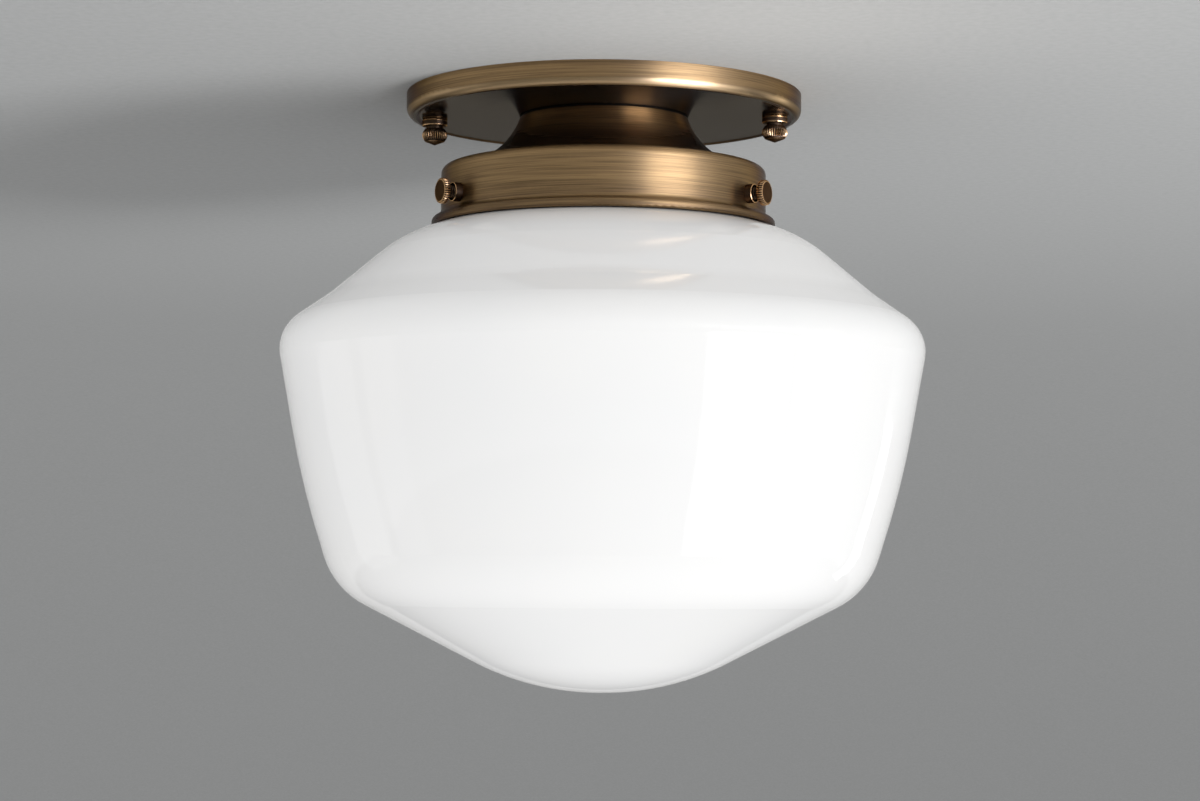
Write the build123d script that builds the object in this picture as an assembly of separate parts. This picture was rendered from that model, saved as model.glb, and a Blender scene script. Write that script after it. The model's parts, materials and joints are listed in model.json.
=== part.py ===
from build123d import *
import math
import os

# All sizes are in millimetres. The ceiling is the plane z = 0 and everything hangs below it.

# Clearances
thread_gap = 0.06
hole_gap = 0.25
seat_gap = 0.3

# Corners of every hexagon nut are turned down by this much
nut_chamfer = 0.6

# Crossbar, a steel strap that is screwed to the outlet box
bar_thickness = 2.0
bar_width = 16.0
bar_end = 4.5
bar_corner = 4.0
bar_hole_diameter = 14.0
box_screw_spacing = 79.4
box_screw_travel = 9.5
box_slot_width = 4.4
slot_to_stud = 8.35

# Earth screw in the crossbar
ground_screw_diameter = 4.8
ground_head_diameter = 8.5
ground_head_height = 2.2
ground_slot_width = 1.2
ground_slot_depth = 1.0

# Mounting studs with their locknuts, washers and knurled cap nuts
stud_diameter = 4.1
stud_nut_width = 8.7
stud_nut_height = 3.2
washer_diameter = 8.15
washer_height = 2.1
washer_edge = 0.25
cap_engagement = 3.6
cap_tip_gap = 0.4
cap_neck_diameter = 5.3
cap_neck_height = 0.85
cap_knob_diameter = 8.2
cap_edge_diameter = 6.4
cap_crown_height = 4.05
cap_cone_height = 1.3
cap_knurl_depth = 0.3
cap_knurl_count = 32
cap_crown_steps = 6

# Canopy, a shallow spun plate that covers the outlet box, its edge rolled a little below its flat
canopy_sheet = 1.0
canopy_room = 0.8
canopy_overhang = 8.5
canopy_edge_round = 2.8
canopy_bead_width = 3.0
canopy_bead_slope = 1.2
canopy_bead_drop = 0.4
canopy_bead_round = 0.5

# Threaded nipple with its lock washers and locknuts
nipple_diameter = 10.0
nipple_bore = 6.6
nipple_reach = 0.5
lock_washer_diameter = 15.0
lock_washer_height = 0.7
locknut_width = 14.0
locknut_height = 2.4

# Shade holder, one spun sheet: top plate, cove neck, shoulder, collar and a lip that ends in a bead
holder_sheet = 0.8
holder_neck_height = 16.5
holder_top_round = 0.5
cove_radius = 24.0
collar_bore_radius = 51.4
collar_height = 14.9
collar_shoulder_round = 2.4
lip_reach = 3.0
lip_skirt = 0.7
lip_bead_radius = 0.8
holder_turn = 5.0

# Thumbscrews, evenly round the collar from the one at the back, and the bushes that they turn in
screw_names = ["rear", "front_left", "front_right"]
screw_drop = 11.4
screw_diameter = 4.0
screw_tip_chamfer = 0.5
screw_neck_length = 2.2
screw_head_diameter = 8.0
screw_head_height = 2.0
screw_head_edge = 0.35
screw_knurl_depth = 0.28
screw_knurl_count = 26
bush_diameter = 6.0
bush_length = 2.4

# Glass shade: each stretch of the outside goes so far out or in, and so far down, from the last corner
shade_wall = 3.0
shade_side_gap = 2.2
shade_rim_height = 4.6
shade_rim_step = 2.7
shade_rim_round = 1.2
shade_lip_gap = 0.65
shade_neck_round = 4.0
shade_shoulder_out = 18.4
shade_shoulder_down = 5.55
shade_shoulder_round = 44.0
shade_slope_out = 22.6
shade_slope_down = 19.2
shade_slope_round = 48.0
shade_flare_out = 16.6
shade_flare_down = 11.6
shade_flare_round = 12.3
shade_side_in = 8.4
shade_side_down = 46.7
shade_side_round = 280.0
shade_taper_in = 10.8
shade_taper_down = 34.8
shade_heel_round = 26.0
shade_base_angle = 27.2
shade_base_flat = 1.0
shade_base_round = 86.0

# Lampholder: bracket, porcelain body, screw shell, centre contact and terminals
bracket_width = 14.0
bracket_sheet = 1.2
bracket_height = 11.0
bracket_span = 18.0
bracket_foot = 8.5
bracket_bend = 2.0
bracket_screw_diameter = 2.8
bracket_screw_depth = 5.0
bracket_head_diameter = 5.2
bracket_head_height = 1.6
socket_diameter = 38.0
socket_height = 38.0
socket_top_thickness = 10.0
socket_edge_round = 2.0
socket_lining_gap = 0.2
shell_sheet = 0.4
shell_length = 20.0
shell_flange = 6.5
contact_diameter = 9.0
contact_sheet = 0.6
contact_button_diameter = 5.0
contact_button_height = 1.6
terminal_width = 8.0
terminal_length = 9.0
terminal_sheet = 0.8
terminal_offset = 12.5
terminal_screw_diameter = 3.2
terminal_screw_depth = 5.0
terminal_head_diameter = 6.4
terminal_head_height = 1.8

# Bulb
bulb_length = 108.0
bulb_radius = 30.0
bulb_neck_length = 5.6
bulb_neck_round = 25.0
bulb_wall = 0.8
base_diameter = 26.0
base_length = 20.5
base_sheet = 0.5
base_end_diameter = 9.0
base_neck_depth = 8.0
base_neck_gap = 0.2
base_shell_gap = 0.35
insulator_height = 3.0
insulator_end_diameter = 22.0
tip_diameter = 8.0
tip_height = 1.2

# A corner is rounded as asked, up to this share of a side that is rounded at both ends
round_share = 0.48

# Places along the crossbar, from the middle out
slot_offset = box_screw_spacing / 2
slot_length = box_screw_travel + box_slot_width
stud_offset = slot_offset + slot_length / 2 + slot_to_stud
ground_offset = (bar_hole_diameter / 2 + slot_offset - slot_length / 2) / 2
canopy_radius = stud_offset + canopy_overhang

# Levels on the axis, from the ceiling down
bar_bottom = -bar_thickness
canopy_stack = max(stud_nut_height, lock_washer_height + locknut_height, ground_head_height)
canopy_floor = bar_bottom - canopy_stack - canopy_room
canopy_bottom = canopy_floor - canopy_sheet
upper_locknut_top = canopy_floor + lock_washer_height + locknut_height
holder_plate = canopy_bottom - holder_sheet
shoulder_level = canopy_bottom - holder_neck_height
screw_level = shoulder_level - screw_drop
collar_bottom = shoulder_level - collar_height
lip_level = collar_bottom - lip_reach
lip_bead_level = lip_level - lip_skirt
holder_bottom = lip_bead_level - lip_bead_radius
lower_locknut_bottom = holder_plate - lock_washer_height - locknut_height
bracket_bottom = lower_locknut_bottom - bracket_sheet
socket_top = lower_locknut_bottom - bracket_height
socket_floor = socket_top - socket_top_thickness
socket_mouth = socket_top - socket_height
bracket_screw_offset = (bracket_span + bracket_foot + bracket_bend) / 2

# Levels on the mounting studs
cap_top = canopy_bottom - washer_height
cap_knob_top = cap_top - cap_neck_height
cap_knob_bottom = cap_knob_top - cap_crown_height
cap_tip = cap_knob_bottom - cap_cone_height
stud_bottom = cap_top - cap_engagement

# Radii round the axis
collar_radius = collar_bore_radius + holder_sheet
lip_outer_radius = collar_radius + lip_reach
cove_centre = collar_radius - collar_shoulder_round
bush_face = collar_radius + bush_length
screw_head_face = bush_face + screw_neck_length
shade_rim_radius = collar_bore_radius - shade_side_gap
shade_neck_radius = shade_rim_radius - shade_rim_step
screw_tip = shade_neck_radius + seat_gap

# Directions of the thumbscrews
screw_angles = [90 + holder_turn + 360 / len(screw_names) * i for i in range(len(screw_names))]

# Levels of the bulb, which stands a seat gap off the centre contact
bulb_tip = socket_floor - contact_button_height - seat_gap
insulator_top = bulb_tip - tip_height
base_top = insulator_top - insulator_height
base_bottom = base_top - base_length
bulb_bottom = bulb_tip - bulb_length
shell_radius = base_diameter / 2 + base_shell_gap
socket_bore_radius = shell_radius + shell_sheet + socket_lining_gap
bulb_neck_radius = base_diameter / 2 - base_sheet - base_neck_gap


def rod(radius, top, bottom):
    """A round bar on the Z axis."""
    bar = Cylinder(radius, top - bottom, align=(Align.CENTER, Align.CENTER, Align.MIN))
    return Pos(0, 0, bottom) * bar


def ring(outer_radius, inner_radius, top, bottom):
    """A round bar with a bore."""
    return rod(outer_radius, top, bottom) - rod(inner_radius, top, bottom)


def hex_nut(width, hole_radius, top, bottom):
    """A six-sided nut on the Z axis, its corners turned down."""
    flats = Pos(0, 0, bottom) * RegularPolygon(width / 2, 6, major_radius=False)
    corners = rod(width / math.sqrt(3), top, bottom)
    corners = chamfer(corners.edges().filter_by(GeomType.CIRCLE), nut_chamfer)
    return (extrude(flats, top - bottom) & corners) - rod(hole_radius, top, bottom)


def screw_solid(head_radius, head_height, shank_radius, length, level):
    """A screw that points down, its head standing on the given level."""
    return rod(head_radius, level + head_height, level) + rod(shank_radius, level, level - length)


def fitting_rounds(corners):
    """The corners as points, and their rounds as far as the sides leave room for them."""
    points = [Vector(radius, level) for radius, level, _ in corners]
    rounds = []
    for i, (_, _, wanted) in enumerate(corners):
        sides = []
        for j in (i - 1, (i + 1) % len(corners)):
            share = round_share if corners[j][2] else 2 * round_share
            sides.append((points[j] - points[i], share))
        (back, _), (ahead, _) = sides
        half_turn = math.radians(180 - back.get_angle(ahead)) / 2
        room = min(side.length * share for side, share in sides)
        rounds.append(min(wanted, room / math.tan(half_turn)) if wanted else 0)
    return points, rounds


def turned(corners):
    """A piece turned about the Z axis from corners that each give radius, level and round."""
    points, rounds = fitting_rounds(corners)
    return revolve(Plane.XZ * make_face(FilletPolyline(*points, radius=rounds, close=True)), Axis.Z)


def inset(corners, wall):
    """The inner corners of a wall whose outside goes through the given corners, from the top down."""
    inner = []
    for (r0, z0, _), (r1, z1, outer_round), (r2, z2, _) in zip(corners, corners[1:], corners[2:]):
        into = Vector(r1 - r0, z1 - z0).normalized()
        out_of = Vector(r2 - r1, z2 - z1).normalized()
        inward = Vector(into.Y + out_of.Y, -into.X - out_of.X).normalized()
        depth = wall / math.cos(math.radians(into.get_angle(out_of)) / 2)
        hollow = into.X * out_of.Y > into.Y * out_of.X
        inner_round = outer_round + wall if hollow else outer_round - wall
        inner.append((r1 + inward.X * depth, z1 + inward.Y * depth, inner_round))
    return inner


def ridged_section(radius, depth, count, level):
    """A flat star of ridges, the section of a straight knurl."""
    step = math.pi / count
    rim = [(radius - depth * (i % 2), i * step) for i in range(2 * count)]
    ridges = Polyline(*[(r * math.cos(a), r * math.sin(a)) for r, a in rim], close=True)
    return Pos(0, 0, level) * make_face(ridges)


def both_ends(solid):
    """A piece and its twin at the other end of the crossbar."""
    return Pos(-stud_offset, 0, 0) * solid + Pos(stud_offset, 0, 0) * solid


def at_screw(angle):
    """The place of a thumbscrew: its axis points out of the collar along the local Z axis."""
    return Rot(0, 0, angle) * Pos(0, 0, screw_level) * Rot(0, 90, 0)


def make_crossbar():
    strap = RectangleRounded(2 * (stud_offset + bar_end), bar_width, bar_corner)
    strap -= Circle(bar_hole_diameter / 2)
    strap -= Pos(ground_offset, 0) * Circle(ground_screw_diameter / 2 + thread_gap)
    for side in (-1, 1):
        strap -= Pos(side * slot_offset, 0) * SlotOverall(slot_length, box_slot_width)
        strap -= Pos(side * stud_offset, 0) * Circle(stud_diameter / 2 + thread_gap)
    return extrude(Pos(0, 0, bar_bottom) * strap, bar_thickness)


def make_ground_screw():
    screw = rod(ground_head_diameter / 2, bar_bottom, bar_bottom - ground_head_height)
    screw = fillet(screw.edges().sort_by(Axis.Z)[0], ground_slot_depth / 2)
    screw += rod(ground_screw_diameter / 2, 0, bar_bottom)
    slot_level = bar_bottom - ground_head_height + ground_slot_depth / 2
    screw -= Pos(0, 0, slot_level) * Box(ground_head_diameter, ground_slot_width, ground_slot_depth)
    return Pos(ground_offset, 0, 0) * screw


def make_mounting_studs():
    return both_ends(rod(stud_diameter / 2, 0, stud_bottom))


def make_stud_locknuts():
    hole_radius = stud_diameter / 2 + thread_gap
    return both_ends(hex_nut(stud_nut_width, hole_radius, bar_bottom, bar_bottom - stud_nut_height))


def make_washer():
    washer = rod(washer_diameter / 2, canopy_bottom, cap_top)
    washer = chamfer(washer.edges().filter_by(GeomType.CIRCLE), washer_edge)
    return washer - rod(stud_diameter / 2 + hole_gap, canopy_bottom, cap_top)


def make_cap_nut():
    """A neck, a knob whose ridges follow its swelling side, and a cone below."""
    edge_radius = cap_edge_diameter / 2
    swell = cap_knob_diameter / 2 - edge_radius
    sections = []
    for i in range(cap_crown_steps + 1):
        share = i / cap_crown_steps
        radius = edge_radius + swell * math.sin(math.pi * share)
        level = cap_knob_top - cap_crown_height * share
        sections.append(ridged_section(radius, cap_knurl_depth, cap_knurl_count, level))
    knob = loft(sections, ruled=True) + rod(cap_neck_diameter / 2, cap_top, cap_knob_top)
    cone_radius = edge_radius - cap_knurl_depth
    knob += turned([(0, cap_knob_bottom, 0), (cone_radius, cap_knob_bottom, 0), (0, cap_tip, 0)])
    return knob - rod(stud_diameter / 2 + thread_gap, cap_top, stud_bottom - cap_tip_gap)


def make_canopy():
    """The spun sheet: inside from the middle out, then outside from the edge back in."""
    hole_radius = nipple_diameter / 2 + hole_gap
    inner_radius = canopy_radius - canopy_sheet
    bead_foot = canopy_radius - canopy_bead_width
    bead_start = bead_foot - canopy_bead_slope
    plate = turned(
        [
            (hole_radius, canopy_floor, 0),
            (bead_start, canopy_floor, canopy_bead_round),
            (bead_foot, canopy_floor - canopy_bead_drop, 0),
            (inner_radius, canopy_floor - canopy_bead_drop, max(canopy_edge_round - canopy_sheet, 0)),
            (inner_radius, 0, 0),
            (canopy_radius, 0, 0),
            (canopy_radius, canopy_bottom - canopy_bead_drop, canopy_edge_round),
            (bead_foot, canopy_bottom - canopy_bead_drop, 0),
            (bead_start, canopy_bottom, canopy_bead_round),
            (hole_radius, canopy_bottom, 0),
        ]
    )
    return plate - both_ends(rod(stud_diameter / 2 + hole_gap, canopy_floor, canopy_bottom))


def make_nipple():
    top = upper_locknut_top + nipple_reach
    return ring(nipple_diameter / 2, nipple_bore / 2, top, bracket_bottom - nipple_reach)


def make_lock_washer(top):
    hole_radius = nipple_diameter / 2 + hole_gap
    return ring(lock_washer_diameter / 2, hole_radius, top, top - lock_washer_height)


def make_locknut(top):
    return hex_nut(locknut_width, nipple_diameter / 2 + thread_gap, top, top - locknut_height)


def cove_outline_radius(radius, level):
    """Where an arc about the cove's centre crosses the given level, on the side near the axis."""
    drop = shoulder_level + cove_radius - level
    return cove_centre - math.sqrt(radius**2 - drop**2)


def make_shade_holder():
    """The spun sheet: outside from the top down, then inside from the lip up."""
    hole_radius = nipple_diameter / 2 + hole_gap
    inner_lip_radius = lip_outer_radius - holder_sheet
    lip_bend = lip_reach / 2
    lip_middle = Vector(collar_radius + lip_bend, collar_bottom - lip_bend)
    inner_lip_middle = lip_middle - Vector(0, holder_sheet)
    shoulder_end = shoulder_level - collar_shoulder_round
    neck_top = Vector(cove_outline_radius(cove_radius, canopy_bottom), canopy_bottom)
    inner_neck_top = Vector(cove_outline_radius(cove_radius + holder_sheet, holder_plate), holder_plate)
    outline = [
        Line((hole_radius, canopy_bottom), neck_top),
        RadiusArc(neck_top, (cove_centre, shoulder_level), -cove_radius),
        RadiusArc((cove_centre, shoulder_level), (collar_radius, shoulder_end), collar_shoulder_round),
        Line((collar_radius, shoulder_end), (collar_radius, collar_bottom)),
        RadiusArc((collar_radius, collar_bottom), lip_middle, -lip_bend),
        RadiusArc(lip_middle, (lip_outer_radius, lip_level), lip_bend),
        Polyline(
            (lip_outer_radius, lip_level),
            (lip_outer_radius, lip_bead_level),
            (inner_lip_radius, lip_bead_level),
            (inner_lip_radius, lip_level),
        ),
        RadiusArc((inner_lip_radius, lip_level), inner_lip_middle, holder_sheet - lip_bend),
        RadiusArc(inner_lip_middle, (collar_bore_radius, collar_bottom), lip_bend + holder_sheet),
        Line((collar_bore_radius, collar_bottom), (collar_bore_radius, shoulder_end)),
        RadiusArc(
            (collar_bore_radius, shoulder_end),
            (cove_centre, shoulder_level - holder_sheet),
            holder_sheet - collar_shoulder_round,
        ),
        RadiusArc((cove_centre, shoulder_level - holder_sheet), inner_neck_top, cove_radius + holder_sheet),
        Polyline(inner_neck_top, (hole_radius, holder_plate), (hole_radius, canopy_bottom)),
    ]
    section = make_face(outline)
    section = fillet(section.vertices().sort_by_distance(neck_top)[0], holder_top_round)
    section += Pos(lip_outer_radius - lip_bead_radius, lip_bead_level) * Circle(lip_bead_radius)
    holder = revolve(Plane.XZ * section, Axis.Z)
    for angle in screw_angles:
        holder -= at_screw(angle) * rod(screw_diameter / 2 + thread_gap, lip_outer_radius, screw_tip)
    return holder


def make_screw_bushes():
    """Round bosses with a foot that follows the collar."""
    bush = ring(bush_diameter / 2, screw_diameter / 2 + thread_gap, bush_face, collar_bore_radius)
    bushes = [at_screw(angle) * bush for angle in screw_angles]
    return Part() + bushes - rod(collar_radius, shoulder_level, collar_bottom)


def make_thumbscrew(angle):
    head_top = screw_head_face + screw_head_height
    head = rod(screw_head_diameter / 2, head_top, screw_head_face)
    head = chamfer(head.edges().filter_by(GeomType.CIRCLE), screw_head_edge)
    ridges = ridged_section(screw_head_diameter / 2, screw_knurl_depth, screw_knurl_count, screw_head_face)
    head &= extrude(ridges, screw_head_height)
    shank = rod(screw_diameter / 2, screw_head_face, screw_tip)
    shank = chamfer(shank.edges().sort_by(Axis.Z)[0], screw_tip_chamfer)
    return at_screw(angle) * (head + shank)


def make_glass_shade():
    """The glass wall: outside from the rim to the base, then inside back up to the rim."""
    rim_bottom = screw_level + screw_diameter / 2 + seat_gap
    rim_top = rim_bottom + shade_rim_height
    shoulder_fall = shade_shoulder_down / shade_shoulder_out
    neck_bottom = holder_bottom - shade_lip_gap + (lip_outer_radius - shade_neck_radius) * shoulder_fall
    stretches = [
        (shade_shoulder_out, shade_shoulder_down, shade_shoulder_round),
        (shade_slope_out, shade_slope_down, shade_slope_round),
        (shade_flare_out, shade_flare_down, shade_flare_round),
        (-shade_side_in, shade_side_down, shade_side_round),
        (-shade_taper_in, shade_taper_down, shade_heel_round),
    ]
    wall = [(shade_neck_radius, rim_bottom, 0), (shade_neck_radius, neck_bottom, shade_neck_round)]
    for out, down, corner_round in stretches:
        radius, level, _ = wall[-1]
        wall.append((radius + out, level - down, corner_round))
    base_angle = math.radians(shade_base_angle)
    heel_radius, heel_level, _ = wall[-1]
    base_radius = shade_base_round * math.tan(base_angle / 2) + shade_base_flat
    base_level = heel_level - (heel_radius - base_radius) * math.tan(base_angle)
    wall.append((base_radius, base_level, shade_base_round))
    wall.append((0, base_level, 0))
    rim = [
        (shade_neck_radius - shade_wall, rim_top, shade_rim_round),
        (shade_rim_radius, rim_top, shade_rim_round),
        (shade_rim_radius, rim_bottom, shade_rim_round),
    ]
    return turned(rim + wall + [(0, base_level + shade_wall, 0)] + inset(wall, shade_wall)[::-1])


def make_socket_bracket():
    half_span = bracket_span / 2
    top = lower_locknut_bottom - bracket_sheet / 2
    foot = socket_top + bracket_sheet / 2
    bend = FilletPolyline(
        (-half_span - bracket_foot, foot),
        (-half_span, foot),
        (-half_span, top),
        (half_span, top),
        (half_span, foot),
        (half_span + bracket_foot, foot),
        radius=bracket_bend,
    )
    strip = Plane.XZ * trace(bend, bracket_sheet)
    strap = extrude(strip, bracket_width / 2, both=True)
    strap -= rod(nipple_diameter / 2 + thread_gap, lower_locknut_bottom, bracket_bottom)
    for side in (-1, 1):
        hole = rod(bracket_screw_diameter / 2 + hole_gap, socket_top + bracket_sheet, socket_top)
        strap -= Pos(side * bracket_screw_offset, 0, 0) * hole
    return strap


def make_bracket_screws():
    screw = screw_solid(
        bracket_head_diameter / 2,
        bracket_head_height,
        bracket_screw_diameter / 2,
        bracket_screw_depth + bracket_sheet,
        socket_top + bracket_sheet,
    )
    return Pos(-bracket_screw_offset, 0, 0) * screw + Pos(bracket_screw_offset, 0, 0) * screw


def make_socket_body():
    radius = socket_diameter / 2
    body = turned(
        [
            (0, socket_top, 0),
            (radius, socket_top, socket_edge_round),
            (radius, socket_mouth, socket_edge_round),
            (socket_bore_radius, socket_mouth, 0),
            (socket_bore_radius, socket_floor, 0),
            (0, socket_floor, 0),
        ]
    )
    bracket_hole = rod(bracket_screw_diameter / 2 + thread_gap, socket_top, socket_top - bracket_screw_depth)
    terminal_hole = rod(terminal_screw_diameter / 2 + thread_gap, socket_top, socket_top - terminal_screw_depth)
    for side in (-1, 1):
        body -= Pos(side * bracket_screw_offset, 0, 0) * bracket_hole
        body -= Pos(0, side * terminal_offset, 0) * terminal_hole
    return body


def make_socket_screw_shell():
    tube = ring(shell_radius + shell_sheet, shell_radius, socket_floor, socket_floor - shell_length)
    flange = ring(shell_radius + shell_sheet, shell_flange, socket_floor, socket_floor - shell_sheet)
    return tube + flange


def make_socket_centre_contact():
    leaf = rod(contact_diameter / 2, socket_floor, socket_floor - contact_sheet)
    button = rod(contact_button_diameter / 2, socket_floor, socket_floor - contact_button_height)
    button = fillet(button.edges().sort_by(Axis.Z)[0], contact_button_height - contact_sheet)
    return leaf + button


def make_terminal(side):
    plate = Pos(0, 0, socket_top + terminal_sheet / 2) * Box(terminal_width, terminal_length, terminal_sheet)
    plate -= rod(terminal_screw_diameter / 2 + hole_gap, socket_top + terminal_sheet, socket_top)
    return Pos(0, side * terminal_offset, 0) * plate


def make_terminal_screw(side):
    screw = screw_solid(
        terminal_head_diameter / 2,
        terminal_head_height,
        terminal_screw_diameter / 2,
        terminal_screw_depth + terminal_sheet,
        socket_top + terminal_sheet,
    )
    return Pos(0, side * terminal_offset, 0) * screw


def make_bulb_envelope():
    """A globe whose taper runs straight from the neck and touches it, blown hollow."""
    centre = bulb_bottom + bulb_radius
    neck_top = base_bottom + base_neck_depth
    neck_bottom = base_bottom - bulb_neck_length
    to_neck = Vector(bulb_neck_radius, neck_bottom - centre)
    taper = math.atan2(to_neck.Y, to_neck.X) - math.acos(bulb_radius / to_neck.length)
    globe_top = (bulb_radius * math.cos(taper), centre + bulb_radius * math.sin(taper))
    neck = FilletPolyline(
        (0, neck_top),
        (bulb_neck_radius, neck_top),
        (bulb_neck_radius, neck_bottom),
        globe_top,
        radius=[0, bulb_neck_round],
    )
    globe = CenterArc((0, centre), bulb_radius, math.degrees(taper), -math.degrees(taper) - 90)
    axis_line = Line((0, bulb_bottom), (0, neck_top))
    blank = revolve(Plane.XZ * make_face([*neck.edges(), globe, axis_line]), Axis.Z)
    return offset(blank, -bulb_wall, openings=blank.faces().sort_by(Axis.Z)[-1])


def make_bulb_base_shell():
    """A sleeve that narrows at 45 degrees to the insulator, with its end turned in."""
    radius = base_diameter / 2
    end_radius = insulator_end_diameter / 2
    cone_bottom = base_top - (radius - end_radius)
    return turned(
        [
            (base_end_diameter / 2, base_top, 0),
            (end_radius, base_top, 0),
            (radius, cone_bottom, 0),
            (radius, base_bottom, 0),
            (radius - base_sheet, base_bottom, 0),
            (radius - base_sheet, cone_bottom - base_sheet, 0),
            (base_end_diameter / 2, base_top - base_sheet, 0),
        ]
    )


def make_bulb_base_insulator():
    return turned(
        [
            (0, insulator_top, 0),
            (tip_diameter / 2, insulator_top, 0),
            (insulator_end_diameter / 2, base_top, 0),
            (0, base_top, 0),
        ]
    )


def make_bulb_tip_contact():
    button = rod(tip_diameter / 2, bulb_tip, insulator_top)
    return fillet(button.edges().sort_by(Axis.Z)[-1], tip_height / 2)


left_end = Pos(-stud_offset, 0, 0)
right_end = Pos(stud_offset, 0, 0)

nodes = {
    "crossbar": make_crossbar(),
    "ground_screw": make_ground_screw(),
    "mounting_studs": make_mounting_studs(),
    "stud_locknuts": make_stud_locknuts(),
    "canopy": make_canopy(),
    "washer_left": left_end * make_washer(),
    "washer_right": right_end * make_washer(),
    "cap_nut_left": left_end * make_cap_nut(),
    "cap_nut_right": right_end * make_cap_nut(),
    "nipple": make_nipple(),
    "upper_lock_washer": make_lock_washer(canopy_floor + lock_washer_height),
    "upper_locknut": make_locknut(upper_locknut_top),
    "shade_holder": make_shade_holder(),
    "lower_lock_washer": make_lock_washer(holder_plate),
    "lower_locknut": make_locknut(holder_plate - lock_washer_height),
    "screw_bushes": make_screw_bushes(),
    "glass_shade": make_glass_shade(),
    "socket_bracket": make_socket_bracket(),
    "bracket_screws": make_bracket_screws(),
    "socket_body": make_socket_body(),
    "socket_screw_shell": make_socket_screw_shell(),
    "socket_centre_contact": make_socket_centre_contact(),
    "live_terminal": make_terminal(1),
    "live_terminal_screw": make_terminal_screw(1),
    "neutral_terminal": make_terminal(-1),
    "neutral_terminal_screw": make_terminal_screw(-1),
    "bulb_envelope": make_bulb_envelope(),
    "bulb_base_shell": make_bulb_base_shell(),
    "bulb_base_insulator": make_bulb_base_insulator(),
    "bulb_tip_contact": make_bulb_tip_contact(),
}
for name, angle in zip(screw_names, screw_angles):
    nodes["thumbscrew_" + name] = make_thumbscrew(angle)

os.makedirs("parts", exist_ok=True)
for name, piece in nodes.items():
    export_step(piece, f"parts/{name}.step")
drop = -nodes["glass_shade"].bounding_box().min.Z
print(f"{len(nodes)} pieces, hanging {drop:.1f} mm below the ceiling")
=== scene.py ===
# %% [markdown]
# # A flush ceiling light with a schoolhouse shade
# The real object is small: a shallow brass canopy that hides the outlet box, a spun brass holder below
# it, and a closed opal glass shade that three thumbscrews hold by its neck. Its solids are already here
# at their real size, in metres, with the ceiling at z = 0 and everything hanging below. This lesson
# dresses them: it finishes each surface, swaps the small turned hardware for finer meshes, and then
# sets up the light and the camera.

# %% Load the solids
import json
import math

import bmesh
import bpy
from mathutils import Matrix, Vector

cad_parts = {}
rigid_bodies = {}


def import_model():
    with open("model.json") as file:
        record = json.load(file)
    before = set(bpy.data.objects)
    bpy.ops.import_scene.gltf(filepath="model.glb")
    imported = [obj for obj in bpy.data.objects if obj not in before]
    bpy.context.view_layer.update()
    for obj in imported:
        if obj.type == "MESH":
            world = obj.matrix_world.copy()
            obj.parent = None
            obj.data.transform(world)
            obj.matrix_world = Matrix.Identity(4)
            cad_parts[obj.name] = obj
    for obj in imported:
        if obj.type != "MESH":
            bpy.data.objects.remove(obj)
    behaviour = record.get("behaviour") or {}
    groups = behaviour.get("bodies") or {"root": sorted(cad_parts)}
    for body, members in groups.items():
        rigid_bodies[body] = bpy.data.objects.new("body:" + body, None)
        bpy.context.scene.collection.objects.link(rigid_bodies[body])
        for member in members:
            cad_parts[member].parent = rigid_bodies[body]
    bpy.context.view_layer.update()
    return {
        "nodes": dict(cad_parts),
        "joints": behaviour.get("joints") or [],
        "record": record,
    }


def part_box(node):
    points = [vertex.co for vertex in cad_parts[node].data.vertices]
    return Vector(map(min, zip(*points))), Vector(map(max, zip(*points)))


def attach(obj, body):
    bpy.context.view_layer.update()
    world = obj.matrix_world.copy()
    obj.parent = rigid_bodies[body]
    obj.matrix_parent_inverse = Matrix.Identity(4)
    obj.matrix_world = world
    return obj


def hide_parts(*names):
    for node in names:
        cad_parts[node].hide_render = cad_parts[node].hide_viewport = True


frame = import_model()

MM = 0.001

# %% [markdown]
# ## Shader sums in plain Python
# A finish is mostly arithmetic on masks: some noise, times a strength, plus an offset. Blender does
# that with Math nodes, which are slow to wire by hand. One small class wraps a node's output, so that
# `1 - mask` or `a * b` adds the Math node by itself. The other class is the material: one method adds
# any node, with its settings first and its sockets after them. The world has nodes too, and takes the
# same class.


# %% A node's output as a value
class Wire:
    """An output that can be used in sums. Each sum adds one Math node."""

    def __init__(self, finish, socket):
        self.finish = finish
        self.socket = socket

    def math(self, operation, *values):
        return self.finish.node("ShaderNodeMath", {"operation": operation}, dict(enumerate(values)))

    def __add__(self, other):
        return self.math("ADD", self, other)

    def __radd__(self, other):
        return self.math("ADD", other, self)

    def __sub__(self, other):
        return self.math("SUBTRACT", self, other)

    def __rsub__(self, other):
        return self.math("SUBTRACT", other, self)

    def __mul__(self, other):
        return self.math("MULTIPLY", self, other)

    def __rmul__(self, other):
        return self.math("MULTIPLY", other, self)

    def __truediv__(self, other):
        return self.math("DIVIDE", self, other)

    def __rtruediv__(self, other):
        return self.math("DIVIDE", other, self)

    def __pow__(self, other):
        return self.math("POWER", self, other)

    def __rpow__(self, other):
        return self.math("POWER", other, self)


# %% A material under construction
class Finish:
    """A material, or the world, with one main shader and one method that adds any other node."""

    def __init__(self, name, family="materials", shader="Principled BSDF"):
        self.made = getattr(bpy.data, family).new(name)
        self.made.use_nodes = True
        self.tree = self.made.node_tree
        self.shader = self.tree.nodes[shader]

    def feed(self, socket, value):
        if isinstance(value, Wire):
            self.tree.links.new(value.socket, socket)
        else:
            socket.default_value = value

    def node(self, kind, settings, sockets, output=0):
        made = self.tree.nodes.new(kind)
        for name, value in settings.items():
            setattr(made, name, value)
        for name, value in sockets.items():
            self.feed(made.inputs[name], value)
        return Wire(self, made.outputs[output])

    def surface(self, sockets):
        for name, value in sockets.items():
            self.feed(self.shader.inputs[name], value)
        print("finish:", self.made.name, "with", len(self.tree.nodes), "nodes")
        return self.made


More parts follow.
